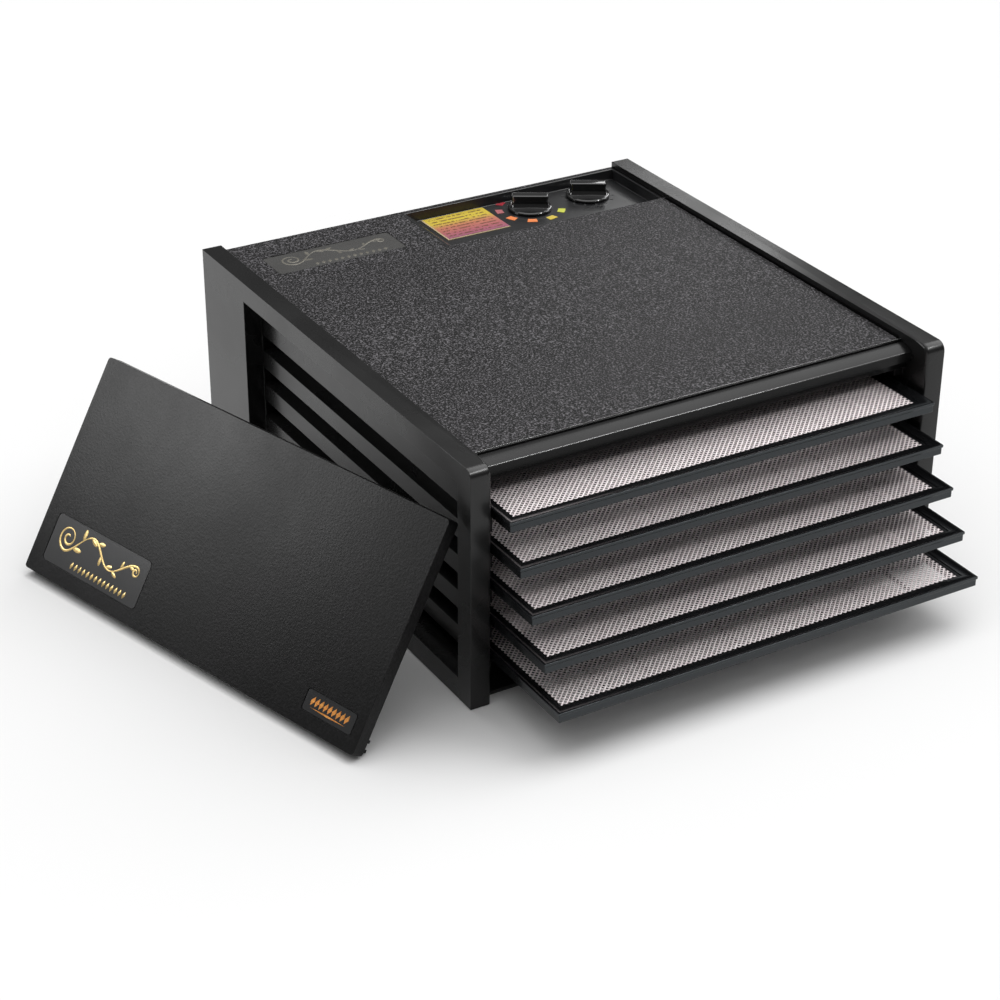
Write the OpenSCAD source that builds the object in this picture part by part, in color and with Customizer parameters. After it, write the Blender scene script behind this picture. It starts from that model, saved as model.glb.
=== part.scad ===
// Countertop food dehydrator with five pull-out trays and a lift-off door.
// Millimetres, +Z up, +Y to the rear. The origin is the middle of the case's footprint, at its underside.

/* [Case] */
// Width of the case over the side panels
body_w = 432; // [424:1:440]
// Depth of the case over the side panels
body_d = 461; // [455:1:467]
// Height of the side panels
wall_h = 203.5; // [203:0.5:208]
// Thickness of a side panel
wall_t = 17.6; // [17:0.1:19]
// Height of the raised field of the top panel
top_h = 199.5; // [199:0.5:201]
// Thickness of the moulded skins
skin = 3; // [2.6:0.1:3.2]
// Depth of the window that is sunk into each side panel
recess_d = 14.9; // [13:0.1:15]

/* [Trays] */
// Number of trays
tray_count = 5; // [5:1:5]
// Height of the lowest tray's underside
tray_z0 = 33.2; // [32:0.1:34]
// Step from one tray to the next
tray_pitch = 30.7; // [30:0.1:31]
// Width of a tray
tray_w = 388.6; // [384:0.2:390]
// Depth of a tray
tray_d = 368; // [360:1:370]
// Height of a tray
tray_h = 8.4; // [8:0.1:9]
// How far the top tray stands proud of the case front
pull_first = 19; // [10:1:30]
// Extra pull of each tray below it
pull_step = 15; // [10:1:18]
// Further pull added to the step for each tray lower down
pull_growth = 1.8; // [0:0.1:2]

/* [Door] */
// Width of the door
door_w = 390; // [380:1:394]
// Height of the door
door_h = 185.5; // [180:0.5:188]
// Thickness of the door
door_t = 13; // [12:0.5:14]
// Angle of the door's long edge to the case front
door_yaw = 73.9; // [73.5:0.1:74.5]
// Lean of the door from upright
door_tilt = 33.4; // [33.3:0.1:34]

/* [Controls] */
// Sideways position of the temperature knob
temp_x = 92; // [90:0.5:94]
// Sideways position of the timer knob
timer_x = 153.5; // [152:0.5:155]
// Position of both knobs from front to rear
knob_y = 200; // [199:0.5:202]
// Radius of a knob's skirt
knob_r = 20; // [19:0.1:20.4]
// Height of a knob
knob_h = 13.4; // [13:0.1:14]

/* [Fan] */
// Height of the fan's axis
fan_z = 92; // [90:1:96]
// Radius over the fan blades
fan_r = 62; // [58:1:63]
// Number of fan blades
blade_count = 5; // [3:1:7]

/* [Hidden] */

$fn = 48;
eps = 0.01;
cut = 1;              // how far a cutter runs past the face that it opens
half_w = body_w / 2;
front_y = -body_d / 2;
rear_y = body_d / 2;
inner_x = half_w - wall_t;
gap = 0.2;            // assembly gap between neighbouring panels

// Side panel
front_round = 8;
rear_round = 2;
recess_front = front_y + 19.5;
recess_rear = 150;
recess_low = 19;
recess_high = 185.8;
ledge_in = 12;        // how far a tray ledge stands in from the wall
ledge_drop = 19.2;    // height of a ledge
ledge_wall = 2.2;
ledge_front = -211;
bearer_front = -204;
baffle_y = 160;
rail_t = 8;           // thickness of the bearers under the top panel and the ceiling
boss_t = 9.4;
catch_z = 9.2;
catch_h = 4.2;

// Top panel
field_front = -197.5;
field_rear = 141;
field_gap = 1.3;
deck_h = top_h - 1;
header_lip_y = -212.3;
header_low = 177.2;
ceiling_z = 175;
ceiling_t = 2;

// Control pocket
pocket_left = -26;
pocket_slope = 13;
pocket_rear = 224.8;
pocket_drop = 10.2;
floor_z = top_h - pocket_drop;
plate_t = 2.5;

// Badges
badge_x = [-176.5, -55.5];
badge_y = [159.5, 197.5];
badge_sink = 1.5;
badge_t = 1;
big_badge = [15, 12.5, 118, 41.5];     // left, low, width, height on the door
small_badge = [328, 11.5, 53, 17.5];

// Rear
rear_in = rear_y - skin;
grille_r = 66;
opening_r = grille_r + 2;
flange_t = 1.5;
ring_w = 3;
ring_step = 9;
spoke_w = 3.4;
shaft_r = 2.5;
run_gap = 0.05;       // running clearance of a shaft in its bush
gland_x = 150;
gland_z = 32;
cord_r = 3.6;
gland_r = 8;
screw_r = 1.6;
pilot_gap = 0.05;

// Motor, along Y
hub_y = [168, 181];
blade_y = [168, 184];
bridge_front_y = 188;
stator_y = [195, 213];
bridge_rear_y = 217;
strap_y = 221.5;
motor_screw_x = 21;
heater_r = 80;

// Tray positions: index 0 is the lowest tray, 4 the top one
function tray_z(i) = tray_z0 + tray_pitch * i;
function tray_pull(i) = pull_first + pull_step * (4 - i) + pull_growth * (4 - i) * (3 - i) / 2;
function tray_front(i) = front_y - tray_pull(i);

// ---------- shared shapes ----------

// Cuts the corner of a sheet outline to a quarter circle; sx and sy point into the sheet.
module corner_cut(x, y, r, sx, sy)
    translate([x, y]) scale([sx, sy]) difference() {
        translate([-cut, -cut]) square(r + cut);
        translate([r, r]) circle(r);
    }

// Extrudes a (Y, Z) outline along X from x to x + len.
module along_x(x, len) translate([x, 0, 0]) rotate([90, 0, 90]) linear_extrude(len) children();

// Extrudes an (X, Z) outline along Y from y to y + len.
module along_y(y, len) translate([0, y + len, 0]) rotate([90, 0, 0]) linear_extrude(len) children();

// Box between two corners.
module box(a, b) translate(a) cube(b - a);

// Cylinder along Y, centred on (x, z).
module rod_y(x, z, y, len, r, fn = 48)
    translate([x, y, z]) rotate([-90, 0, 0]) cylinder(h = len, r = r, $fn = fn);

// Pan head screw along Y; the head is at y, the shank points to dir.
module screw_y(x, z, y, dir, len) {
    rod_y(x, z, dir > 0 ? y - 2 : y, 2, 3.2, 32);
    rod_y(x, z, dir > 0 ? y - eps : y - len, len + eps, screw_r, 32);
}

// Round wire that runs straight from point to point, with a slightly wider ball at each point.
module wire(points, r) {
    for (i = [0:len(points) - 2]) {
        d = points[i + 1] - points[i];
        translate(points[i]) rotate([0, acos(d[2] / norm(d)), atan2(d[1], d[0])])
            cylinder(h = norm(d), r = r, $fn = 32);
    }
    for (p = points) translate(p) sphere(r + wire_ball, $fn = 32);
}

// ---------- case ----------

module side_outline() difference() {
    translate([front_y, 0]) square([body_d, wall_h]);
    corner_cut(front_y, wall_h, front_round, 1, -1);
    corner_cut(rear_y, wall_h, rear_round, -1, -1);
    corner_cut(front_y, 0, rear_round, 1, 1);
}

module tray_ledge(i) {
    top = tray_z(i) - gap;
    low = max(recess_low - ledge_wall, top - ledge_drop);
    box([-inner_x - eps, ledge_front, low], [-inner_x + ledge_in, baffle_y, top]);
}

module ledge_pocket(i) {
    top = tray_z(i) - gap - ledge_wall;
    low = max(recess_low, top - ledge_drop + 2 * ledge_wall);
    box([-half_w - cut, ledge_front + ledge_wall, low],
        [-inner_x + ledge_in - ledge_wall, recess_rear - ledge_wall, top]);
}

rear_screw_z = [20, 100, 180];
boss_x = inner_x - boss_t / 2;

module side_panel_solid() difference() {
    union() {
        along_x(-half_w, wall_t) side_outline();
        for (i = [0:tray_count - 1]) tray_ledge(i);
        // bearer above the top tray, under the chamber ceiling
        box([-inner_x - eps, bearer_front, tray_z(4) + 12.4], [-inner_x + rail_t, baffle_y, ceiling_z]);
        // bearer under the top panel
        box([-inner_x - eps, bearer_front + 16, 188], [-inner_x + rail_t, field_rear - 1, top_h - skin - gap]);
        // upright for the rear panel's screws
        box([-inner_x - eps, rear_in - 9, 4], [-inner_x + boss_t, rear_in - gap, 186]);
        // door catch
        box([-inner_x - eps, ledge_front, catch_z], [-inner_x + 6.4, bearer_front + 1, catch_z + catch_h]);
    }
    box([-half_w - cut, recess_front, recess_low], [-half_w + recess_d, recess_rear, recess_high]);
    for (i = [0:tray_count - 1]) ledge_pocket(i);
    // rebate for the bottom panel's edge
    box([-inner_x - 2, front_y + 11, -cut], [-inner_x + cut, rear_y + cut, skin + gap]);
    for (z = rear_screw_z) rod_y(-boss_x, z, rear_in - 8, 9, screw_r + pilot_gap, 32);
}

module side_panel_left() color("#2b2b2d") side_panel_solid();
module side_panel_right() color("#2b2b2d") mirror([1, 0, 0]) side_panel_solid();

// Front header and raised field in one (Y, Z) outline.
module top_outline() polygon([
    [field_rear, top_h], [field_front, top_h], [field_front, top_h - 4.1], [field_front - 8.5, top_h - 4.1],
    [header_lip_y, top_h - 6.9], [header_lip_y, 184.5], [-207, 183.5], [-207, header_low],
    [-207 + skin, header_low], [-207 + skin, 186.3], [header_lip_y + skin, 187.1],
    [header_lip_y + skin, 190.9], [field_front - 7.5, top_h - 4.1 - skin],
    [field_front + skin, top_h - 4.1 - skin], [field_front + skin, top_h - skin], [field_rear, top_h - skin]]);

module top_panel() color("#3a393b") difference() {
    union() {
        difference() {
            along_x(-inner_x + gap, 2 * (inner_x - gap)) top_outline();
            for (s = [-1, 1]) translate([s * (inner_x - field_gap / 2 + 0.1), (field_front + field_rear) / 2, top_h])
                cube([field_gap, field_rear - field_front + 2 * cut, 3], center = true);
        }
        box([-inner_x + gap, field_rear - eps, deck_h - skin], [inner_x - gap, rear_y - gap, deck_h]);
    }
    // opening for the control pocket
    box([pocket_left, field_rear + gap, deck_h - skin - cut], [inner_x, pocket_rear + plate_t + gap, deck_h + cut]);
    // badge recess
    box([badge_x[0], badge_y[0], deck_h - badge_sink], [badge_x[1], badge_y[1], deck_h + cut]);
}

module top_badge() color("#77756f")
    box([badge_x[0] + gap, badge_y[0] + gap, deck_h - badge_sink],
        [badge_x[1] - gap, badge_y[1] - gap, deck_h - badge_sink + badge_t]);

module bottom_panel() color("#242425")
    box([-inner_x - 1.8, front_y + 11.2, 0], [inner_x + 1.8, rear_y, skin]);

module rear_panel() color("#242425") difference() {
    box([-inner_x + gap, rear_in, skin + gap], [inner_x - gap, rear_y, deck_h - skin - gap]);
    rod_y(0, fan_z, rear_in - cut, skin + 2 * cut, opening_r, 96);
    rod_y(gland_x, gland_z, rear_in - cut, skin + 2 * cut, gland_r, 48);
    for (s = [-1, 1]) for (z = rear_screw_z)
        rod_y(s * boss_x, z, rear_in - cut, skin + 2 * cut, screw_r + pilot_gap, 32);
}

// Round grille of rings and spokes that fills an opening from y to y + skin, with a flange on one face.
module ring_grille(y, flange_y) union() {
    difference() {
        union() {
            rod_y(0, fan_z, y, skin, grille_r + 1.8, 96);
            rod_y(0, fan_z, flange_y, flange_t, grille_r + 6, 96);
        }
        rod_y(0, fan_z, y - 2 * cut, skin + 4 * cut, grille_r - 2, 96);
    }
    for (r = [8:ring_step:grille_r - 4]) difference() {
        rod_y(0, fan_z, y, skin, r, 64);
        rod_y(0, fan_z, y - cut, skin + 2 * cut, r - ring_w, 64);
    }
    for (a = [0:60:120]) translate([0, y + skin / 2, fan_z]) rotate([0, a, 0])
        cube([2 * grille_r - 2, skin, spoke_w], center = true);
}

module intake_grille() color("#1d1d1e") ring_grille(rear_in, rear_y);
module fan_guard() color("#1d1d1e") ring_grille(baffle_y, baffle_y - flange_t);

module chamber_ceiling() color("#202021")
    box([-inner_x + gap, header_lip_y + 8.4, ceiling_z], [inner_x - gap, baffle_y, ceiling_z + ceiling_t]);

baffle_screw = [98, 10];     // foot screw positions from the fan axis: x, z

module rear_baffle() color("#202021") difference() {
    box([-inner_x + gap, baffle_y + eps, skin], [inner_x - gap, baffle_y + skin, deck_h - skin - 0.5]);
    rod_y(0, fan_z, baffle_y - cut, skin + 2 * cut, opening_r, 96);
    for (s = [-1, 1]) for (t = [-1, 1])
        rod_y(s * baffle_screw[0], fan_z + t * baffle_screw[1], baffle_y - cut, skin + 2 * cut,
              screw_r + pilot_gap, 32);
    // lowered under the control pocket
    box([pocket_left - 1, baffle_y - cut, floor_z - plate_t - gap], [inner_x + cut, baffle_y + skin + cut, top_h]);
}

// ---------- controls ----------

module control_panel() color("#1a1a1b") difference() {
    union() {
        box([pocket_left + pocket_slope, field_rear + 0.4, floor_z - plate_t],
            [inner_x - gap, pocket_rear + plate_t, floor_z]);
        // sloping left wall
        along_y(field_rear + 0.4, pocket_rear + plate_t - field_rear - 0.4) polygon([
            [pocket_left + gap, deck_h], [pocket_left + gap, deck_h - plate_t],
            [pocket_left + pocket_slope, floor_z - plate_t], [pocket_left + pocket_slope + 1, floor_z - plate_t],
            [pocket_left + pocket_slope + 1, floor_z], [pocket_left + 3, deck_h]]);
        box([pocket_left + pocket_slope, pocket_rear, floor_z - eps], [inner_x - gap, pocket_rear + plate_t, deck_h]);
        box([inner_x - gap - plate_t, field_rear + 0.4, floor_z - eps], [inner_x - gap, pocket_rear + eps, deck_h]);
        box([pocket_left + pocket_slope, field_rear + 0.4, floor_z - eps],
            [inner_x - gap, field_rear + 0.4 + plate_t, top_h - skin - gap]);
    }
    for (x = [temp_x, timer_x]) translate([x, knob_y, floor_z - plate_t - cut]) cylinder(h = plate_t + 2 * cut, r = 5);
}

chart_x = [-8, 55];
chart_y = [172, 222.5];
module food_chart() color("#d08a5a")
    box([chart_x[0], chart_y[0], floor_z + eps], [chart_x[1], chart_y[1], floor_z + 0.6]);

// Printed marks round a knob: arcs between two radii from angle a0, one every step degrees.
mark_h = 0.3;
mark_end = 300;
module dial_marks(x, a0, count, step, sweep, r0, r1) intersection() {
    for (i = [0:count - 1]) translate([x, knob_y, floor_z + eps]) rotate([0, 0, a0 + i * step])
        rotate_extrude(angle = sweep, $fn = 96) translate([r0, 0]) square([r1 - r0, mark_h]);
    box([x - 2 * knob_r, 0, 0], [x + 2 * knob_r, pocket_rear - gap, mark_end]);
}

module temperature_scale() color("#e07030") dial_marks(temp_x, 119.5, 6, 38.5, 17, knob_r + 5.5, knob_r + 12);
module timer_scale() color("#8a8a8a") dial_marks(timer_x, 100, 12, 26, 3, knob_r + 1.2, knob_r + 4.4);

knob_base = floor_z + 0.4;
skirt_h = 5.2;
grip_l = 33;
grip_w = 9;
grip_turn = -30;
module knob(x) difference() {
    translate([x, knob_y, knob_base]) {
        cylinder(h = 2.2, r = knob_r, $fn = 96);
        translate([0, 0, 2.2 - eps]) cylinder(h = skirt_h - 2.2 + eps, r1 = knob_r - 1, r2 = knob_r - 5, $fn = 96);
        rotate([0, 0, grip_turn]) translate([0, 0, knob_h / 2 + 1]) cube([grip_l, grip_w, knob_h - 2], center = true);
    }
    translate([x, knob_y, knob_base - cut]) cylinder(h = cut + 3, r = knob_r - 5.5);
    translate([x, knob_y, knob_base - cut]) cylinder(h = cut + 9.5, r = 3, $fn = 32);
}
module temperature_knob() color("#111112") knob(temp_x);
module timer_knob() color("#111112") knob(timer_x);

module dial_shaft(x) translate([x, knob_y, floor_z - 9]) cylinder(h = 9 + 0.4 + 9, r = 3, $fn = 32);
module temperature_shaft() color("#b8b8b8") dial_shaft(temp_x);
module timer_shaft() color("#b8b8b8") dial_shaft(timer_x);

// Control body with a threaded neck that comes up through the panel.
module dial_body(x, size) difference() {
    union() {
        translate([x - size[0] / 2, knob_y - size[1] / 2, floor_z - plate_t - gap - size[2]]) cube(size);
        translate([x, knob_y, floor_z - plate_t - 1]) cylinder(h = plate_t + 1 + 2.4, r = 4.8);
    }
    translate([x, knob_y, floor_z - 9.2]) cylinder(h = 20, r = 3 + run_gap, $fn = 32);
}
module thermostat_body() color("#c9b38a") dial_body(temp_x, [36, 28, 20]);
module timer_body() color("#d8d8d2") dial_body(timer_x, [44, 42, 28]);
module control_nuts() color("#b8b8b8") for (x = [temp_x, timer_x])
    translate([x, knob_y, floor_z + eps]) difference() {
        cylinder(h = 1.9, r = 8, $fn = 6);
        translate([0, 0, -cut]) cylinder(h = 4, r = 4.8 + eps);
    }

// ---------- wiring ----------

module thermal_cutoff() color("#d9d4c8") box([108, baffle_y + skin + eps, 138], [130, baffle_y + skin + 8, 147]);

block_y = [196, 212];
wire_r = 2;
wire_ball = 0.3;
module terminal_block() color("#d8cfa8") difference() {
    box([120, block_y[0], skin + eps], [168, block_y[1], skin + 14]);
    for (x = [127:11.3:162]) translate([x, 204, skin + 6]) cylinder(h = 10, r = 2.4, $fn = 32);
}

module wiring_harness() color("#8a2f2f") union() {
    wire([[gland_x, 213, 26], [gland_x, 208, 19.5]], wire_r);
    wire([[164, 208, 19.5], [180, 208, 40], [180, 206, 140], [170, 206, 156]], wire_r);
    wire([[129, 203, 162], [121, 203, 170], [112.5, 203, 172]], wire_r);
    wire([[90, 203, 164], [92, 186, 152], [106, 174, 142]], wire_r);
    wire([[117.5, 208, 12], [12, 208, 12], [12, 208, 34]], wire_r);
}

module cord_gland() color("#161617") difference() {
    union() {
        rod_y(gland_x, gland_z, rear_in - 6, skin + 6, gland_r - 0.1, 48);
        rod_y(gland_x, gland_z, rear_y + eps, 3.5, gland_r + 3.5, 48);
        rod_y(gland_x, gland_z, rear_y, 1, gland_r - 0.1, 48);
    }
    rod_y(gland_x, gland_z, rear_in - 6 - cut, skin + 6 + 5 + 2 * cut, cord_r, 48);
}

// ---------- motor, fan and heater ----------

module motor_stator() color("#8f9092") difference() {
    box([-27, stator_y[0], fan_z - 42], [27, stator_y[1], fan_z + 20]);
    rod_y(0, fan_z, stator_y[0] - cut, 20, 13.3);
    box([-17, stator_y[0] - cut, fan_z - 30], [17, stator_y[1] + cut, fan_z - 16]);
    for (s = [-1, 1]) rod_y(s * motor_screw_x, fan_z, stator_y[0] - cut, 20, screw_r + pilot_gap, 32);
}

module motor_coil() color("#b0562c") difference() {
    box([-15.5, stator_y[0] - 6, fan_z - 50], [15.5, stator_y[1] + 6, fan_z - 17]);
    box([-16.5, stator_y[0] - 0.1, fan_z - 42.1], [16.5, stator_y[1] + 0.1, fan_z - 29.9]);
}

module bearing_bridge(y, post_y, post_len) difference() {
    union() {
        box([-26, y, fan_z - 7], [26, y + 2, fan_z + 7]);
        for (s = [-1, 1]) rod_y(s * motor_screw_x, fan_z, post_y, post_len, 4, 32);
    }
    rod_y(0, fan_z, y - cut, 4, 5);
    for (s = [-1, 1]) rod_y(s * motor_screw_x, fan_z, min(y, post_y) - cut, 12, screw_r + pilot_gap, 32);
}
module front_bearing_bridge() color("#a9abad") bearing_bridge(bridge_front_y, bridge_front_y + 2 - eps, 5 + eps);
module rear_bearing_bridge() color("#a9abad") bearing_bridge(bridge_rear_y, stator_y[1], 4 + eps);

module motor_bushes() color("#b08d3e") for (y = [bridge_front_y - 2, bridge_rear_y - 2]) difference() {
    rod_y(0, fan_z, y, 6, 5 - eps);
    rod_y(0, fan_z, y - cut, 8, shaft_r + run_gap);
}

// Strap across the motor with two legs to the baffle.
module motor_bracket() color("#9c9ea0") difference() {
    union() {
        box([-92, strap_y, fan_z - 16], [92, strap_y + 2, fan_z + 16]);
        for (s = [-1, 1]) {
            box([s > 0 ? 90 : -92, baffle_y + skin + gap, fan_z - 16], [s > 0 ? 92 : -90, strap_y + 2, fan_z + 16]);
            box([s > 0 ? 90 : -106, baffle_y + skin + gap, fan_z - 16],
                [s > 0 ? 106 : -90, baffle_y + skin + gap + 2, fan_z + 16]);
            rod_y(s * motor_screw_x, fan_z, bridge_rear_y + 2, strap_y - bridge_rear_y - 2 + eps, 4, 32);
        }
    }
    rod_y(0, fan_z, strap_y - 3, 6, 7);
    for (s = [-1, 1]) {
        rod_y(s * motor_screw_x, fan_z, bridge_rear_y, 9, screw_r + pilot_gap, 32);
        for (t = [-1, 1]) rod_y(s * baffle_screw[0], fan_z + t * baffle_screw[1], baffle_y + skin - cut, 5,
                                screw_r + pilot_gap, 32);
    }
}

module motor_screws() color("#c0c0c0") for (s = [-1, 1]) {
    screw_y(s * motor_screw_x, fan_z, bridge_front_y, 1, 37.6);
    translate([s * motor_screw_x, strap_y + 2 + 2.1, fan_z]) rotate([90, 0, 0]) difference() {
        cylinder(h = 2, r = 3.4, $fn = 6);
        translate([0, 0, -cut]) cylinder(h = 4, r = screw_r + 0.02, $fn = 32);
    }
}

module motor_shaft() color("#d0d0d2") rod_y(0, fan_z, 166, 55, shaft_r);
module motor_rotor_core() color("#77797c") difference() {
    rod_y(0, fan_z, stator_y[0] + 1, 16, 12.8);
    rod_y(0, fan_z, stator_y[0], 18, shaft_r);
}

// Hub with flat blades set at an angle, trimmed to the fan's outer radius.
module fan_rotor() color("#e8e8e4") difference() {
    union() {
        rod_y(0, fan_z, hub_y[0], hub_y[1] - hub_y[0], 15);
        intersection() {
            rod_y(0, fan_z, blade_y[0], blade_y[1] - blade_y[0], fan_r, 96);
            union() for (i = [0:blade_count - 1])
                translate([0, (blade_y[0] + blade_y[1]) / 2, fan_z]) rotate([0, i * 360 / blade_count, 0])
                    translate([37, 0, 0]) rotate([35, 0, 0]) cube([54, 1.8, 42], center = true);
        }
    }
    rod_y(0, fan_z, hub_y[0] - cut, 20, shaft_r);
}

module heater_frame() color("#cdbf9a") difference() {
    rod_y(0, fan_z, baffle_y + skin + 2.5, 1.5, heater_r + 9, 96);
    rod_y(0, fan_z, baffle_y + skin, 6, heater_r - 10, 96);
    for (a = [45:90:315]) rod_y(heater_r * cos(a), fan_z + heater_r * sin(a), baffle_y + skin, 6, 3, 32);
}
module heater_coil() color("#8c8c90") translate([0, baffle_y + skin + 10.5, fan_z]) rotate([90, 0, 0])
    rotate([0, 0, 105]) rotate_extrude(angle = 330, $fn = 96) translate([heater_r, 0]) circle(4.4, $fn = 32);
module heater_posts() color("#f0ede4") for (a = [45:90:315])
    rod_y(heater_r * cos(a), fan_z + heater_r * sin(a), baffle_y + skin + eps, 6, 3 - eps, 32);

module baffle_screws() color("#c0c0c0") for (s = [-1, 1]) for (t = [-1, 1])
    screw_y(s * baffle_screw[0], fan_z + t * baffle_screw[1], baffle_y + skin + gap + 2, -1, 8);
module rear_screws() color("#303032") for (s = [-1, 1]) for (z = rear_screw_z)
    screw_y(s * boss_x, z, rear_y, -1, 10);

// ---------- door ----------

// Stands on its long edge and leans against the left side panel.
module place_door() {
    foot_x = -433.2;
    foot_y = 126.6;
    translate([foot_x, foot_y, door_t * sin(door_tilt)]) rotate([0, 0, -door_yaw]) rotate([-door_tilt, 0, 0]) children();
}

door_corner = 3;
door_rim = 2.5;
sheet_t = 2;
lug = [10, 4, 2.5];

// Door frame: front face at y = 0 looking to -Y, lower left corner at the origin.
module door_outline(inset) difference() {
    translate([inset, inset]) square([door_w - 2 * inset, door_h - 2 * inset]);
    for (x = [0, 1]) for (z = [0, 1])
        corner_cut(x ? door_w - inset : inset, z ? door_h - inset : inset, door_corner - inset, x ? -1 : 1, z ? -1 : 1);
}

module badge_seat(b, play) translate([b[0] + play, -cut, b[1] + play])
    cube([b[2] - 2 * play, cut + 0.8, b[3] - 2 * play]);

module door_panel() color("#262627") place_door() difference() {
    along_y(0, door_t) door_outline(0);
    along_y(skin, door_t) door_outline(door_rim);
    badge_seat(big_badge, 0);
    badge_seat(small_badge, 0);
}

// Back sheet set into the rim, with locating lugs at its lower corners.
module door_back() color("#222223") place_door() union() {
    along_y(door_t - gap - sheet_t, sheet_t) door_outline(door_rim + 0.1);
    for (x = [3, door_w - 3 - lug[0]]) for (z = [3, 10.5])
        translate([x, door_t - gap - 0.1, z]) cube([lug[0], lug[1] + gap + 0.1, lug[2]]);
}

module badge_plate(b) translate([b[0] + gap, -0.2, b[1] + gap]) cube([b[2] - 2 * gap, 1 - eps, b[3] - 2 * gap]);
module door_badge_large() color("#c9a24a") place_door() badge_plate(big_badge);
module door_badge_small() color("#d06a2a") place_door() badge_plate(small_badge);

// ---------- trays ----------

lip_w = 1.6;
lip_z = 6;
body_in = 0.8;        // how far the frame's lower part stands in under its lip
hole_side = 9.4;
hole_front = 11.6;
rim_side = 12.2;
rim_front = 15;
mesh_seat = 3.6;
mesh_t = 1.1;
mesh_play = 0.2;
bar_w = 2.4;
bar_h = 2.6;
cells = 9;            // cells of the lattice, each way

// Ring with a rectangular hole, wx and wy wide at the sides and ends, inset from the tray's outline.
module rim_ring(inset, wx, wy, z0, z1) difference() {
    box([-tray_w / 2 + inset, inset, z0], [tray_w / 2 - inset, tray_d - inset, z1]);
    box([-tray_w / 2 + wx, wy, z0 - cut], [tray_w / 2 - wx, tray_d - wy, z1 + cut]);
}

module tray_frame(i) translate([0, tray_front(i), tray_z(i)]) union() {
    rim_ring(0, lip_w, lip_w, lip_z, tray_h);
    rim_ring(body_in, hole_side, hole_front, 0, lip_z + gap);
    rim_ring(body_in, rim_side, rim_front, 0, mesh_seat);
}

// Lattice floor that carries the screen, set between the frame's seats.
module tray_grid(i) translate([0, tray_front(i), tray_z(i)]) union() {
    side = tray_w / 2 - rim_side - eps;
    for (k = [1:cells - 1]) {
        x = -tray_w / 2 + k * tray_w / cells;
        y = k * tray_d / cells;
        box([x - bar_w / 2, rim_front + eps, 0], [x + bar_w / 2, tray_d - rim_front - eps, bar_h]);
        box([-side, y - bar_w / 2, 0], [side, y + bar_w / 2, bar_h]);
    }
}

module tray_mesh(i) translate([0, tray_front(i), tray_z(i)]) {
    side = tray_w / 2 - hole_side - mesh_play;
    front = hole_front + mesh_play;
    box([-side, front, mesh_seat + eps], [side, tray_d - front, mesh_seat + mesh_t]);
}

module tray_frame_1() color("#1b1c1e") tray_frame(4);
module tray_frame_2() color("#1b1c1e") tray_frame(3);
module tray_frame_3() color("#1b1c1e") tray_frame(2);
module tray_frame_4() color("#1b1c1e") tray_frame(1);
module tray_frame_5() color("#1b1c1e") tray_frame(0);
module tray_grid_1() color("#1b1c1e") tray_grid(4);
module tray_grid_2() color("#1b1c1e") tray_grid(3);
module tray_grid_3() color("#1b1c1e") tray_grid(2);
module tray_grid_4() color("#1b1c1e") tray_grid(1);
module tray_grid_5() color("#1b1c1e") tray_grid(0);
module tray_mesh_1() color("#e8dcdc") tray_mesh(4);
module tray_mesh_2() color("#e8dcdc") tray_mesh(3);
module tray_mesh_3() color("#e8dcdc") tray_mesh(2);
module tray_mesh_4() color("#e8dcdc") tray_mesh(1);
module tray_mesh_5() color("#e8dcdc") tray_mesh(0);

side_panel_left();
side_panel_right();
top_panel();
bottom_panel();
rear_panel();
intake_grille();
chamber_ceiling();
rear_baffle();
control_panel();
food_chart();
temperature_scale();
timer_scale();
top_badge();
temperature_knob();
temperature_shaft();
timer_knob();
timer_shaft();
thermostat_body();
timer_body();
control_nuts();
thermal_cutoff();
terminal_block();
wiring_harness();
cord_gland();
motor_stator();
motor_coil();
front_bearing_bridge();
rear_bearing_bridge();
motor_bushes();
motor_bracket();
motor_screws();
motor_shaft();
motor_rotor_core();
fan_rotor();
fan_guard();
heater_frame();
heater_coil();
heater_posts();
baffle_screws();
rear_screws();
door_panel();
door_back();
door_badge_large();
door_badge_small();
tray_frame_1();
tray_frame_2();
tray_frame_3();
tray_frame_4();
tray_frame_5();
tray_grid_1();
tray_grid_2();
tray_grid_3();
tray_grid_4();
tray_grid_5();
tray_mesh_1();
tray_mesh_2();
tray_mesh_3();
tray_mesh_4();
tray_mesh_5();
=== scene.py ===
"""Looks of a countertop food dehydrator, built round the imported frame. Every size is in metres."""

import math

import bmesh
import bpy
from mathutils import Matrix, Vector


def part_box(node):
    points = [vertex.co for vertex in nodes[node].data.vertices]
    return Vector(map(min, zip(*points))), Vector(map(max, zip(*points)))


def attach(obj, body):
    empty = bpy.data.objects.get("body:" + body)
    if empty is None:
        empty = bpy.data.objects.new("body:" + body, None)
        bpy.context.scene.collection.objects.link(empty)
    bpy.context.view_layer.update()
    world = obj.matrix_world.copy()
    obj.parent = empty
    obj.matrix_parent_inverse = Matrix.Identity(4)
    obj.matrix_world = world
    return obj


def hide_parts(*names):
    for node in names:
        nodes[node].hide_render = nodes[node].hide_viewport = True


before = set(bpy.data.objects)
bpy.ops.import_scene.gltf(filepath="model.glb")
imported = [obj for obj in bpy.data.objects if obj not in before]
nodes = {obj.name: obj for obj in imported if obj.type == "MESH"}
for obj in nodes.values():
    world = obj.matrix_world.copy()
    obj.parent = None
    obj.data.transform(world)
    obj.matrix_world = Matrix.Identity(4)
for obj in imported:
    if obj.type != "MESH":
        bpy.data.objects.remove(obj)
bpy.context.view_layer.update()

MM = 0.001
TRAYS = (1, 2, 3, 4, 5)


# ---------- bmesh helpers ----------

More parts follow.
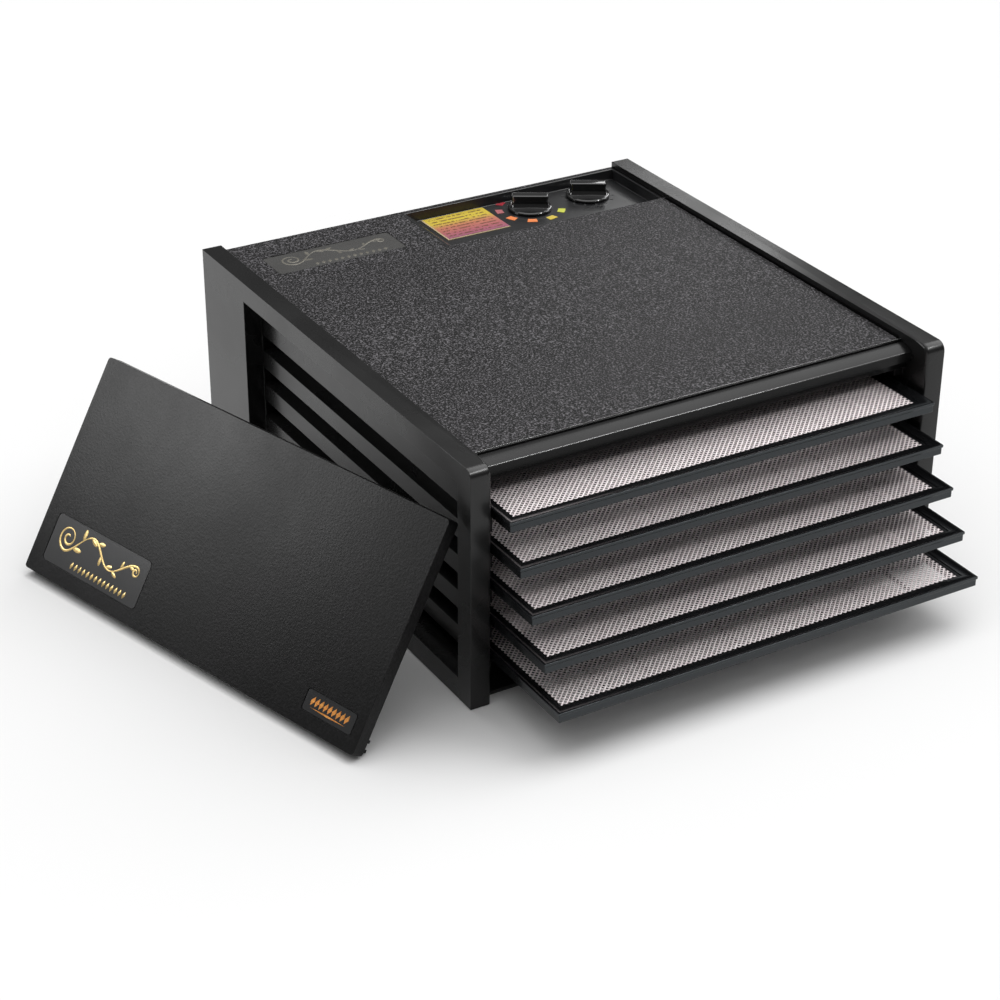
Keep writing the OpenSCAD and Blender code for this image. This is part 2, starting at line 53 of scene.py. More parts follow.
def block(low, high):
    """Closed box between two corners."""
    bm = bmesh.new()
    bmesh.ops.create_cube(bm, size=1)
    bmesh.ops.scale(bm, vec=Vector(high) - Vector(low), verts=bm.verts)
    bmesh.ops.translate(bm, vec=(Vector(low) + Vector(high)) / 2, verts=bm.verts)
    return bm


def slice_at(bm, axis, places):
    """Cuts every face along the planes that stand across axis at these places."""
    normal = Vector((0, 0, 0))
    normal[axis] = 1
    for place in places:
        bmesh.ops.bisect_plane(bm, geom=bm.verts[:] + bm.edges[:] + bm.faces[:], dist=1e-7,
                               plane_co=normal * place, plane_no=normal)


def faces_facing(bm, axis, sign, low, high):
    """Faces that look along sign * axis and have their middle between two corners."""
    found = []
    for face in bm.faces:
        middle = face.calc_center_median()
        inside = all(a - 1e-6 <= m <= b + 1e-6 for a, m, b in zip(low, middle, high))
        if inside and face.normal[axis] * sign > 0.99:
            found.append(face)
    return found


def push(bm, faces, depth, draft=0.0002):
    """Moves a patch of faces along its normals by depth, with walls that lean in by draft."""
    bm.normal_update()
    if faces:
        bmesh.ops.inset_region(bm, faces=faces, thickness=draft, depth=depth, use_even_offset=True)
        bm.normal_update()


def edges_near(bm, test):
    return [edge for edge in bm.edges if all(test(vert.co) for vert in edge.verts)]


def round_edges(bm, edges, radius, steps=4):
    bmesh.ops.bevel(bm, geom=edges, offset=radius, segments=steps, profile=0.5, affect="EDGES", material=-1)


def merge_flat(bm):
    """Joins coplanar neighbours back into one face."""
    bmesh.ops.dissolve_limit(bm, angle_limit=math.radians(0.5), verts=bm.verts, edges=bm.edges)


def rounded_face(bm, width, height, radius, centre, steps=5):
    """Flat rectangle with round corners in the XY plane; returns its face."""
    before = set(bm.faces)
    made = bmesh.ops.create_grid(bm, x_segments=1, y_segments=1, size=0.5)["verts"]
    bmesh.ops.scale(bm, vec=(width, height, 1), verts=made)
    bmesh.ops.translate(bm, vec=centre, verts=made)
    bmesh.ops.bevel(bm, geom=made, offset=radius, segments=steps, profile=0.5, affect="VERTICES", material=-1)
    return next(face for face in bm.faces if face not in before)


def round_over(bm, face, radius, steps=4):
    """Raises a flat face by radius over a quarter-round edge; returns the edges round the flat top."""
    for k in range(steps):
        a, b = (math.pi / 2 * k / steps, math.pi / 2 * (k + 1) / steps)
        bmesh.ops.inset_region(bm, faces=[face], thickness=radius * (math.cos(a) - math.cos(b)),
                               depth=radius * (math.sin(b) - math.sin(a)), use_even_offset=True)
    return list(face.edges)


def drop_edges(bm, edges, depth):
    """Extrudes a loop of edges down by depth; returns the new loop."""
    made = bmesh.ops.extrude_edge_only(bm, edges=edges)["geom"]
    verts = [item for item in made if isinstance(item, bmesh.types.BMVert)]
    bmesh.ops.translate(bm, vec=(0, 0, -depth), verts=verts)
    loop = set(verts)
    return [item for item in made if isinstance(item, bmesh.types.BMEdge) and set(item.verts) <= loop]


def sunk_plate(width, height, corner, edge_radius, thickness, seats, back_rim=0.0, back_step=0.0):
    """Plate with a round-over front edge at z 0 and round-cornered seats sunk into its face.

    A seat is (left, low, width, height, corner, depth), measured from the plate's lower left corner."""
    bm = bmesh.new()
    middle = (width / 2, height / 2, -edge_radius)
    face = rounded_face(bm, width, height, corner, middle)
    if face.normal.z < 0:
        face.normal_flip()
    outer = list(face.edges)
    top = round_over(bm, face, edge_radius)
    bottom = drop_edges(bm, outer, thickness - edge_radius)
    back = bmesh.ops.edgeloop_fill(bm, edges=bottom)["faces"]
    if seats:
        bmesh.ops.delete(bm, geom=[face], context="FACES_ONLY")
        loops = list(top)
        for left, low, w, h, r, depth in seats:
            floor = rounded_face(bm, w, h, r, (left + w / 2, low + h / 2, 0))
            rim = list(floor.edges)
            bmesh.ops.delete(bm, geom=[floor], context="FACES_ONLY")
            loops += rim
            bmesh.ops.edgeloop_fill(bm, edges=drop_edges(bm, rim, depth))
        bmesh.ops.triangle_fill(bm, edges=loops, use_beauty=True)
    bmesh.ops.recalc_face_normals(bm, faces=bm.faces)
    if back_rim:
        bmesh.ops.inset_region(bm, faces=back, thickness=back_rim, depth=0, use_even_offset=True)
        bmesh.ops.inset_region(bm, faces=back, thickness=0.0003, depth=-back_step, use_even_offset=True)
    return bm


def outline_along_x(points, x0, x1):
    """Solid bar with the (y, z) outline given by points."""
    bm = bmesh.new()
    face = bm.faces.new([bm.verts.new((x0, y, z)) for y, z in points])
    made = bmesh.ops.extrude_face_region(bm, geom=[face], use_keep_orig=True)["geom"]
    verts = [item for item in made if isinstance(item, bmesh.types.BMVert)]
    bmesh.ops.translate(bm, vec=(x1 - x0, 0, 0), verts=verts)
    bmesh.ops.recalc_face_normals(bm, faces=bm.faces)
    return bm


def add_into(bm, other):
    """Adds the parts of a second bmesh to the first and frees it."""
    mesh = bpy.data.meshes.new("joined")
    other.to_mesh(mesh)
    other.free()
    bm.from_mesh(mesh)
    bpy.data.meshes.remove(mesh)


def piece(bm, name, body, material, stands_for=(), soften=0.0, steps=2, smooth_angle=32):
    """Makes the object of a finished bmesh and puts it on its body."""
    bmesh.ops.remove_doubles(bm, verts=bm.verts, dist=1e-6)
    bmesh.ops.recalc_face_normals(bm, faces=bm.faces)
    mesh = bpy.data.meshes.new(name)
    bm.to_mesh(mesh)
    bm.free()
    mesh.polygons.foreach_set("use_smooth", [True] * len(mesh.polygons))
    mesh.set_sharp_from_angle(angle=math.radians(smooth_angle))
    mesh.materials.append(material)
    made = bpy.data.objects.new(name, mesh)
    bpy.context.scene.collection.objects.link(made)
    if soften:
        bevel = made.modifiers.new("soft_edges", "BEVEL")
        bevel.width = soften
        bevel.segments = steps
        bevel.limit_method = "ANGLE"
        bevel.angle_limit = math.radians(smooth_angle)
        bevel.use_clamp_overlap = True
        bevel.harden_normals = True
    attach(made, body)
    if stands_for:
        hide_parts(*stands_for)
    return made


def union(first, second):
    """Boolean union of two bmeshes, as a bmesh."""
    made = []
    for bm in (first, second):
        mesh = bpy.data.meshes.new("operand")
        bm.to_mesh(mesh)
        bm.free()
        ob = bpy.data.objects.new("operand", mesh)
        bpy.context.scene.collection.objects.link(ob)
        made.append(ob)
    join = made[0].modifiers.new("join", "BOOLEAN")
    join.operation = "UNION"
    join.solver = "EXACT"
    join.object = made[1]
    graph = bpy.context.evaluated_depsgraph_get()
    joined = bmesh.new()
    joined.from_mesh(made[0].evaluated_get(graph).to_mesh())
    for ob in made:
        bpy.data.objects.remove(ob)
    return joined


# ---------- material helpers ----------

def put(tree, kind, values=None, **settings):
    """Adds a shader node, sets its settings, and sets or links its inputs."""
    made = tree.nodes.new(kind)
    for name, value in settings.items():
        setattr(made, name, value)
    for name, value in (values or {}).items():
        if isinstance(value, bpy.types.NodeSocket):
            tree.links.new(value, made.inputs[name])
        else:
            made.inputs[name].default_value = value
    return made


def new_group(name, inputs, outputs):
    tree = bpy.data.node_groups.new(name, "ShaderNodeTree")
    for label, value in inputs.items():
        socket = tree.interface.new_socket(name=label, in_out="INPUT", socket_type="NodeSocketFloat")
        socket.default_value = value
    for label, kind in outputs.items():
        tree.interface.new_socket(name=label, in_out="OUTPUT", socket_type=kind)
    return tree, tree.nodes.new("NodeGroupInput").outputs, tree.nodes.new("NodeGroupOutput").inputs


def math_node(tree, operation, a, b=0.0):
    return put(tree, "ShaderNodeMath", {0: a, 1: b}, operation=operation).outputs[0]


def remap(tree, value, low, high, to_low, to_high):
    return put(tree, "ShaderNodeMapRange", {"Value": value, "From Min": low, "From Max": high,
                                            "To Min": to_low, "To Max": to_high}).outputs[0]


def grain_group():
    """Moulded leather grain: rounded cells broken up by fine noise."""
    tree, given, out = new_group("moulded_grain", {"Scale": 600.0, "Cells": 0.5},
                                 {"Height": "NodeSocketFloat", "Speckle": "NodeSocketFloat"})
    place = put(tree, "ShaderNodeTexCoord").outputs["Object"]
    coarse = put(tree, "ShaderNodeTexVoronoi", {"Vector": place, "Scale": given["Scale"]}, feature="SMOOTH_F1")
    fine_scale = math_node(tree, "MULTIPLY", given["Scale"], 1.7)
    fine = put(tree, "ShaderNodeTexNoise", {"Vector": place, "Scale": fine_scale, "Detail": 3.0,
                                            "Roughness": 0.6})
    cells = math_node(tree, "MULTIPLY", coarse.outputs["Distance"], given["Cells"])
    height = math_node(tree, "ADD", cells, fine.outputs["Fac"])
    middle = math_node(tree, "MULTIPLY_ADD", given["Cells"], 0.45)
    middle.node.inputs[2].default_value = 0.5
    tree.links.new(height, out["Height"])
    centred = math_node(tree, "SUBTRACT", height, middle)
    tree.links.new(remap(tree, centred, -0.12, 0.17, 0.0, 1.0), out["Speckle"])
    return tree


def smudge_group():
    """Slow drift over a surface, for uneven gloss and tone."""
    tree, given, out = new_group("uneven_tone", {"Scale": 9.0, "Low": 0.0, "High": 1.0},
                                 {"Value": "NodeSocketFloat"})
    place = put(tree, "ShaderNodeTexCoord").outputs["Object"]
    cloud = put(tree, "ShaderNodeTexNoise", {"Vector": place, "Scale": given["Scale"], "Detail": 4.0,
                                             "Roughness": 0.55, "Distortion": 0.6})
    value = put(tree, "ShaderNodeMapRange", {"Value": cloud.outputs["Fac"], "From Min": 0.3, "From Max": 0.7,
                                             "To Min": given["Low"], "To Max": given["High"]})
    tree.links.new(value.outputs[0], out["Value"])
    return tree


GRAIN = grain_group()
TONE = smudge_group()


def use(tree, group, **values):
    made = tree.nodes.new("ShaderNodeGroup")
    made.node_tree = group
    for name, value in values.items():
        made.inputs[name].default_value = value
    return made


def new_material(name):
    material = bpy.data.materials.new(name)
    material.use_nodes = True
    tree = material.node_tree
    return material, tree, tree.nodes["Principled BSDF"]


def blend_colours(tree, factor, first, second):
    made = put(tree, "ShaderNodeMix", data_type="RGBA")
    for slot, value in ((0, factor), (6, first), (7, second)):
        if isinstance(value, bpy.types.NodeSocket):
            tree.links.new(value, made.inputs[slot])
        else:
            made.inputs[slot].default_value = value if slot == 0 else (*value, 1)
    return made.outputs[2]


def moulded(name, dark, light, rough=(0.4, 0.5), grain=900.0, cells=0.5, bump=0.25, depth=0.0002,
            coat=0.0, coat_rough=0.15, tone_scale=9.0, metallic=0.0, ior=1.5, shine=0.5, sparse=1.0):
    """Moulded plastic: two tones mixed by its own grain, uneven gloss and a fine bump."""
    material, tree, shader = new_material(name)
    texture = use(tree, GRAIN, Scale=grain, Cells=cells)
    gloss = use(tree, TONE, Scale=tone_scale, Low=rough[0], High=rough[1])
    speckle = math_node(tree, "POWER", texture.outputs["Speckle"], sparse)
    tree.links.new(blend_colours(tree, speckle, dark, light), shader.inputs["Base Color"])
    tree.links.new(gloss.outputs["Value"], shader.inputs["Roughness"])
    bumped = put(tree, "ShaderNodeBump", {"Strength": bump, "Distance": depth,
                                          "Height": texture.outputs["Height"]})
    tree.links.new(bumped.outputs["Normal"], shader.inputs["Normal"])
    shader.inputs["Coat Weight"].default_value = coat
    shader.inputs["Coat Roughness"].default_value = coat_rough
    shader.inputs["Metallic"].default_value = metallic
    shader.inputs["IOR"].default_value = ior
    shader.inputs["Specular IOR Level"].default_value = shine
    return material


def grey(value, tint=(1, 1, 1)):
    return tuple(value * t for t in tint)


COOL = (0.94, 0.97, 1.06)
case_black = moulded("case_black", grey(0.005), grey(0.008), rough=(0.22, 0.34), grain=1100, cells=0.3, bump=0.12,
                    coat=0.08, coat_rough=0.12, shine=0.34)
top_grain = moulded("top_grain", grey(0.002), grey(0.12, (1, 0.96, 1.02)), rough=(0.42, 0.5), grain=740,
                    cells=0.7, bump=0.5, depth=0.0005, tone_scale=6, shine=0.18, sparse=2.4)
header_black = moulded("header_black", grey(0.003), grey(0.005), rough=(0.18, 0.26), grain=1100, cells=0.3,
                       bump=0.06, coat=0.03, coat_rough=0.12, shine=0.16)
door_grain = moulded("door_grain", grey(0.002), grey(0.006, (1, 0.97, 1.03)), rough=(0.3, 0.4), grain=520,
                     cells=0.7, bump=0.3, depth=0.0003, tone_scale=7, shine=0.17)
inner_black = moulded("inner_black", grey(0.007), grey(0.012), rough=(0.5, 0.65), grain=1100, bump=0.15)
tray_gloss = moulded("tray_gloss", grey(0.004, COOL), grey(0.007, COOL), rough=(0.12, 0.22), grain=900, cells=0.2,
                     bump=0.04, coat=0.12, coat_rough=0.08, tone_scale=26, shine=0.42)
tray_gloss.node_tree.nodes["Principled BSDF"].inputs["Specular Tint"].default_value = (0.82, 0.93, 1, 1)
knob_gloss = moulded("knob_gloss", grey(0.004), grey(0.006), rough=(0.08, 0.14), grain=1500, cells=0.2, bump=0.01,
                     coat=1.0, coat_rough=0.04, tone_scale=40)
edge_gloss = moulded("edge_gloss", grey(0.006), grey(0.009), rough=(0.14, 0.2), grain=1500, cells=0.2, bump=0.01,
                     coat=1.0, coat_rough=0.1, tone_scale=20, shine=1.0)
control_gloss = moulded("control_gloss", grey(0.006, COOL), grey(0.009, COOL), rough=(0.26, 0.4), grain=1500,
                        cells=0.2, bump=0.04, coat=0.2, coat_rough=0.2, tone_scale=18)
screen_white = moulded("screen_white", (0.72, 0.63, 0.64), (0.92, 0.86, 0.86), rough=(0.35, 0.5), grain=500,
                       bump=0.1, tone_scale=12)
steel = moulded("plated_steel", grey(0.42), grey(0.55), rough=(0.28, 0.42), grain=900, bump=0.08, metallic=1.0)
lamination = moulded("stacked_sheet", grey(0.16), grey(0.25), rough=(0.4, 0.55), grain=2200, bump=0.3,
                     metallic=0.8)
copper = moulded("wound_copper", (0.42, 0.13, 0.05), (0.62, 0.24, 0.1), rough=(0.3, 0.45), grain=1800, bump=0.4,
                 metallic=0.7)
bronze = moulded("sintered_bronze", (0.36, 0.22, 0.08), (0.5, 0.33, 0.13), rough=(0.4, 0.5), grain=1600,
                 metallic=0.9)
mica = moulded("pale_insulator", (0.62, 0.57, 0.43), (0.78, 0.73, 0.6), rough=(0.5, 0.65), grain=700, bump=0.2)
nylon = moulded("white_nylon", (0.70, 0.70, 0.67), (0.78, 0.78, 0.75), rough=(0.4, 0.5), grain=1000, bump=0.06)
wire_red = moulded("wire_cover", (0.30, 0.04, 0.03), (0.38, 0.06, 0.05), rough=(0.35, 0.5), grain=1200,
                   bump=0.1)
rubber = moulded("black_rubber", grey(0.014), grey(0.022), rough=(0.55, 0.7), grain=900, bump=0.3)
badge_dark = moulded("badge_dark", grey(0.006, COOL), grey(0.009, COOL), rough=(0.3, 0.4), grain=1500, bump=0.06,
                     coat=0.1, shine=0.36)
badge_grey = moulded("badge_grey", grey(0.036, (1, 0.98, 0.94)), grey(0.055, (1, 0.98, 0.94)), rough=(0.34, 0.46),
                     grain=1300, bump=0.06)
gold = moulded("gold_foil", (0.42, 0.29, 0.10), (0.62, 0.47, 0.21), rough=(0.28, 0.42), grain=1500, bump=0.08,
               metallic=0.7, tone_scale=90)
orange_foil = moulded("orange_foil", (0.72, 0.22, 0.04), (0.85, 0.45, 0.12), rough=(0.25, 0.4), grain=1500,
                      bump=0.08, metallic=0.6, tone_scale=90)
pale_foil = moulded("pale_foil", (0.14, 0.13, 0.11), (0.22, 0.21, 0.18), rough=(0.3, 0.45), grain=1500, bump=0.08,
                    metallic=0.5, tone_scale=60)


def paint_shade_on_sides(material, side):
    """Paints shade into the colour: faces that don't look up, the sides of the strands, get a dark painted-shade
    tone so the net's holes read darker.
    """
    tree = material.node_tree
    shader = tree.nodes["Principled BSDF"]
    colour = shader.inputs["Base Color"].links[0].from_socket
    normal = put(tree, "ShaderNodeNewGeometry").outputs["True Normal"]
    facing = put(tree, "ShaderNodeSeparateXYZ", {"Vector": normal})
    upward = remap(tree, facing.outputs["Z"], 0.45, 0.85, 0.0, 1.0)
    # painted shade: the side colour replaces the strand's own colour where the face does not look up
    mixed = put(tree, "ShaderNodeMix", data_type="RGBA")
    tree.links.new(upward, mixed.inputs[0])
    mixed.inputs[6].default_value = (*side, 1)
    tree.links.new(colour, mixed.inputs[7])
    tree.links.new(mixed.outputs[2], shader.inputs["Base Color"])


def ramp(tree, factor, stops):
    made = put(tree, "ShaderNodeValToRGB", {"Fac": factor})
    points = made.color_ramp.elements
    while len(points) > 1:
        points.remove(points[-1])
    points[0].position = stops[0][0]
    points[0].color = (*stops[0][1], 1)
    for place, colour in stops[1:]:
        points.new(place).color = (*colour, 1)
    return made.outputs["Color"]


# painted shade on the sides of the screen's strands, not a colour of the strands themselves
paint_shade_on_sides(screen_white, (0.035, 0.03, 0.03))

YELLOW = (0.50, 0.38, 0.04)
LIME = (0.45, 0.48, 0.05)
ORANGE = (0.68, 0.20, 0.06)
SALMON = (0.42, 0.15, 0.09)
PINK = (0.34, 0.10, 0.11)
VIOLET = (0.24, 0.08, 0.14)
RED = (0.35, 0.015, 0.03)


def chart_print(low, high):
    """Printed chart: bands from yellow at the rear to violet in front, with ruled rows of broken lines."""
    material, tree, shader = new_material("chart_print")
    object_place = put(tree, "ShaderNodeTexCoord").outputs["Object"]
    place = put(tree, "ShaderNodeSeparateXYZ", {"Vector": object_place})
    across = remap(tree, place.outputs["X"], low.x, high.x, 0.0, 1.0)
    back = remap(tree, place.outputs["Y"], low.y, high.y, 0.0, 1.0)
    bands = ramp(tree, back, ((0.0, VIOLET), (0.25, PINK), (0.5, SALMON), (0.62, (0.44, 0.26, 0.06)),
                              (0.72, YELLOW), (1.0, YELLOW)))
    row = math_node(tree, "FRACT", math_node(tree, "MULTIPLY", back, 9.0))
    stretched = put(tree, "ShaderNodeMapping", {"Vector": object_place, "Scale": (300, 180, 1)}).outputs[0]
    dashes = put(tree, "ShaderNodeTexNoise", {"Vector": stretched, "Scale": 1.0, "Detail": 2.0})
    broken = math_node(tree, "GREATER_THAN", dashes.outputs["Fac"], 0.47)
    ruled = math_node(tree, "MULTIPLY", math_node(tree, "LESS_THAN", row, 0.4), broken)
    inside = math_node(tree, "MULTIPLY", math_node(tree, "GREATER_THAN", across, 0.07),
                       math_node(tree, "LESS_THAN", across, 0.93))
    mark = math_node(tree, "MULTIPLY", math_node(tree, "MULTIPLY", ruled, inside), 0.8)
    edge = math_node(tree, "LESS_THAN", math_node(tree, "MINIMUM", across, back), 0.022)
    printed = blend_colours(tree, mark, bands, (0.10, 0.045, 0.02))
    tree.links.new(blend_colours(tree, edge, printed, (0.42, 0.33, 0.2)), shader.inputs["Base Color"])
    gloss = use(tree, TONE, Scale=40, Low=0.22, High=0.34)
    tree.links.new(gloss.outputs["Value"], shader.inputs["Roughness"])
    return material


def dial_print(name, centre, stops):
    """Printed marks whose colour follows their angle round the knob."""
    material, tree, shader = new_material(name)
    place = put(tree, "ShaderNodeSeparateXYZ", {"Vector": put(tree, "ShaderNodeTexCoord").outputs["Object"]})
    away_x = math_node(tree, "SUBTRACT", place.outputs["X"], centre.x)
    away_y = math_node(tree, "SUBTRACT", place.outputs["Y"], centre.y)
    angle = math_node(tree, "ARCTAN2", away_y, away_x)
    turn = remap(tree, angle, -math.pi, math.pi, 0.0, 1.0)
    tree.links.new(ramp(tree, turn, stops), shader.inputs["Base Color"])
    gloss = use(tree, TONE, Scale=60, Low=0.3, High=0.45)
    tree.links.new(gloss.outputs["Value"], shader.inputs["Roughness"])
    return material


# ---------- camera and light ----------

CAMERA_AT = (-0.97345, -1.55513, 1.02852)
CAMERA_AZIMUTH, CAMERA_ELEVATION, CAMERA_ROLL = (math.radians(a) for a in (-30.55, 29.05, 0.35))
CAMERA_LENS = 87.857
SENSOR = 36


def make_camera():
    a, e, r = CAMERA_AZIMUTH, CAMERA_ELEVATION, CAMERA_ROLL
    back = Vector((math.sin(a) * math.cos(e), -math.cos(a) * math.cos(e), math.sin(e)))
    right = Vector((math.cos(a), math.sin(a), 0))
    up = back.cross(right)
    side = right * math.cos(r) + up * math.sin(r)
    over = up * math.cos(r) - right * math.sin(r)
    lens = bpy.data.cameras.new("camera")
    lens.lens = CAMERA_LENS
    lens.sensor_width = SENSOR
    lens.clip_end = 50
    camera = bpy.data.objects.new("camera", lens)
    camera.matrix_world = Matrix.Translation(CAMERA_AT) @ Matrix((side, over, back)).transposed().to_4x4()
    bpy.context.scene.collection.objects.link(camera)
    bpy.context.scene.camera = camera


def softbox(name, at, target, width, height, watts, colour=(1, 1, 1)):
    lamp = bpy.data.lights.new(name, "AREA")
    lamp.shape = "RECTANGLE"
    lamp.size = width
    lamp.size_y = height
    lamp.energy = watts
    lamp.color = colour
    made = bpy.data.objects.new(name, lamp)
    made.location = at
    made.rotation_mode = "QUATERNION"
    made.rotation_quaternion = (Vector(target) - Vector(at)).to_track_quat("-Z", "Y")
    bpy.context.scene.collection.objects.link(made)
    return made


def distant_light(name, towards, irradiance, spread):
    """Very wide light from far off that travels in the direction of towards."""
    lamp = bpy.data.lights.new(name, "SUN")
    lamp.energy = irradiance
    lamp.angle = math.radians(spread)
    made = bpy.data.objects.new(name, lamp)
    made.rotation_mode = "QUATERNION"
    made.rotation_quaternion = Vector(towards).to_track_quat("-Z", "Y")
    bpy.context.scene.collection.objects.link(made)


def make_floor():
    bm = bmesh.new()
    bmesh.ops.create_grid(bm, x_segments=1, y_segments=1, size=15)
    mesh = bpy.data.meshes.new("floor")
    bm.to_mesh(mesh)
    bm.free()
    material, tree, shader = new_material("floor_paper")
    shader.inputs["Base Color"].default_value = (0.82, 0.82, 0.82, 1)
    shader.inputs["Roughness"].default_value = 0.9
    shader.inputs["Specular IOR Level"].default_value = 0.1
    mesh.materials.append(material)
    floor = bpy.data.objects.new("floor", mesh)
    floor.location.z = -0.0003
    bpy.context.scene.collection.objects.link(floor)
    return floor


SKY_LOW, SKY_HIGH = 0.12, 1.2             # strength of the sky near the horizon and overhead


def make_studio():
    """Bright sky overhead, a wide side light and three small boxes that leave the floor out."""
    world = bpy.data.worlds.new("studio")
    world.use_nodes = True
    tree = world.node_tree
    sky = tree.nodes["Background"]
    sky.inputs["Color"].default_value = (1, 1, 1, 1)
    towards = put(tree, "ShaderNodeTexCoord").outputs["Generated"]
    upward = put(tree, "ShaderNodeSeparateXYZ", {"Vector": towards}).outputs["Z"]
    tree.links.new(remap(tree, upward, 0.5, 0.8, SKY_LOW, SKY_HIGH), sky.inputs["Strength"])
    bpy.context.scene.world = world
    bpy.context.scene.view_settings.view_transform = "Standard"
    distant_light("ceiling", (-0.05, -0.2, -0.98), 0.5, 42)
    distant_light("right_window", (-0.68, -0.1, -0.72), 1.5, 50)
    boxes = [softbox("front_strip", (0.85, -1.15, 1.6), (0.0, -0.2, 0.19), 0.7, 0.2, 13),
             softbox("left_rear", (-0.96, 0.45, 0.47), (-0.34, 0.14, 0.15), 0.34, 0.3, 3.6),
             softbox("right_rear", (0.76, 0.86, 0.66), (0.18, 0.19, 0.19), 0.26, 0.22, 0.5)]
    shaded = bpy.data.collections.new("off_the_softboxes")
    shaded.objects.link(make_floor())
    shaded.collection_objects[0].light_linking.link_state = "EXCLUDE"
    for box in boxes:
        box.light_linking.receiver_collection = shaded


make_camera()
make_studio()


# ---------- case ----------

tray_low = {n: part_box(f"tray_frame_{n}")[0] for n in TRAYS}
wall_low, wall_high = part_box("side_panel_left")
case_front, case_rear = wall_low.y, wall_high.y
wall_top = wall_high.z
outer_x = wall_low.x                      # negative: the left panel is built, the right one is its mirror image
WALL_T = 17.6 * MM
inner_x = outer_x + WALL_T
RECESS_FRONT = case_front + 19.5 * MM
RECESS_REAR = 150 * MM
RECESS_LOW = 19 * MM
RECESS_HIGH = 185.8 * MM
RECESS_DEPTH = 14.9 * MM
LEDGE_IN = 12 * MM
LEDGE_WALL = 2.2 * MM
BEARER_IN = 8 * MM
CATCH_IN = 6.4 * MM
LEDGE_DROP = 19.2 * MM
BAFFLE_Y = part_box("rear_baffle")[0].y
BEARER_FRONT = -203 * MM                  # the bearers begin behind the catch
FRONT_ROUND = 8 * MM
INNER_ROUND = 2.6 * MM


def side_panel():
    """Left panel with its drafted outer recess, the hollow tray ledges and the bearers inside."""
    bm = block((outer_x, case_front, 0), (inner_x, case_rear, wall_top))
    corner = edges_near(bm, lambda co: co.y < case_front + 1e-5 and co.z > wall_top - 1e-5)
    round_edges(bm, corner, FRONT_ROUND, steps=7)
    inner_edge = edges_near(bm, lambda co: co.x > inner_x - 1e-5 and co.y < case_front + FRONT_ROUND + 1e-4
                            and (co.y < case_front + 1e-5 or co.z > wall_top - FRONT_ROUND - 1e-4))
    round_edges(bm, [e for e in inner_edge if e.calc_face_angle(0) > 1], INNER_ROUND, steps=4)
    ledges, pockets = [], []
    for n in TRAYS:
        top = tray_low[n].z - 0.2 * MM
        ledges.append((max(RECESS_LOW - LEDGE_WALL, top - LEDGE_DROP), top))
        pockets.append((max(RECESS_LOW, top - LEDGE_DROP + LEDGE_WALL), top - LEDGE_WALL))
    catch = (9.2 * MM, 13.4 * MM)
    bearer = (tray_low[1].z + 12.4 * MM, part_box("chamber_ceiling")[0].z)
    slice_at(bm, 1, [RECESS_FRONT, RECESS_FRONT + LEDGE_WALL, BEARER_FRONT, RECESS_REAR - LEDGE_WALL,
                     RECESS_REAR, BAFFLE_Y])
    levels = {RECESS_HIGH, *catch, *bearer, *(z for pair in ledges + pockets for z in pair)}
    slice_at(bm, 2, sorted(levels))
    bm.normal_update()
    raised = [(ledge, LEDGE_IN, RECESS_FRONT) for ledge in ledges] + [(bearer, BEARER_IN, BEARER_FRONT)]
    for (low, high), depth, start in raised:
        push(bm, faces_facing(bm, 0, 1, (inner_x - MM, start, low), (inner_x + MM, BAFFLE_Y, high)), depth)
    rib = faces_facing(bm, 0, 1, (inner_x - MM, RECESS_FRONT, catch[0]), (inner_x + MM, BEARER_FRONT, catch[1]))
    push(bm, rib, CATCH_IN)
    recess = faces_facing(bm, 0, -1, (outer_x - MM, RECESS_FRONT, RECESS_LOW),
                          (outer_x + MM, RECESS_REAR, RECESS_HIGH))
    push(bm, recess, -RECESS_DEPTH, draft=1.4 * MM)
    floor_x = outer_x + RECESS_DEPTH
    for low, high in pockets:
        cells = faces_facing(bm, 0, -1, (floor_x - MM, RECESS_FRONT + LEDGE_WALL, low),
                             (floor_x + MM, RECESS_REAR - LEDGE_WALL, high))
        push(bm, cells, -(WALL_T - RECESS_DEPTH + LEDGE_IN - LEDGE_WALL), draft=0.6 * MM)
    merge_flat(bm)
    return bm


def add_side_panels():
    piece(side_panel(), "side_shell_left", "case", case_black, ["side_panel_left"], 0.9 * MM, 3)
    right = side_panel()
    bmesh.ops.scale(right, vec=(-1, 1, 1), verts=right.verts)
    piece(right, "side_shell_right", "case", case_black, ["side_panel_right"], 0.9 * MM, 3)


FIELD_FRONT = -197.5 * MM
FIELD_REAR = 141 * MM
FIELD_ROUND = 3 * MM
LIP_ROUND = 0.5 * MM
LIP_DROP = 6.9 * MM                       # from the field down to the front lip's upper edge
LIP_FACE_END = 15 * MM
SHELF_DROP = 4.1 * MM                     # from the field down to the groove in front of it
TOP_SKIN = 3 * MM
DECK_DROP = 1 * MM
GRAIN_SLOT, HEADER_SLOT, FIELD_EDGE_SLOT, LIP_EDGE_SLOT = range(4)
SEAM = 1.5 * MM
SEAM_DEPTH = 2.4 * MM


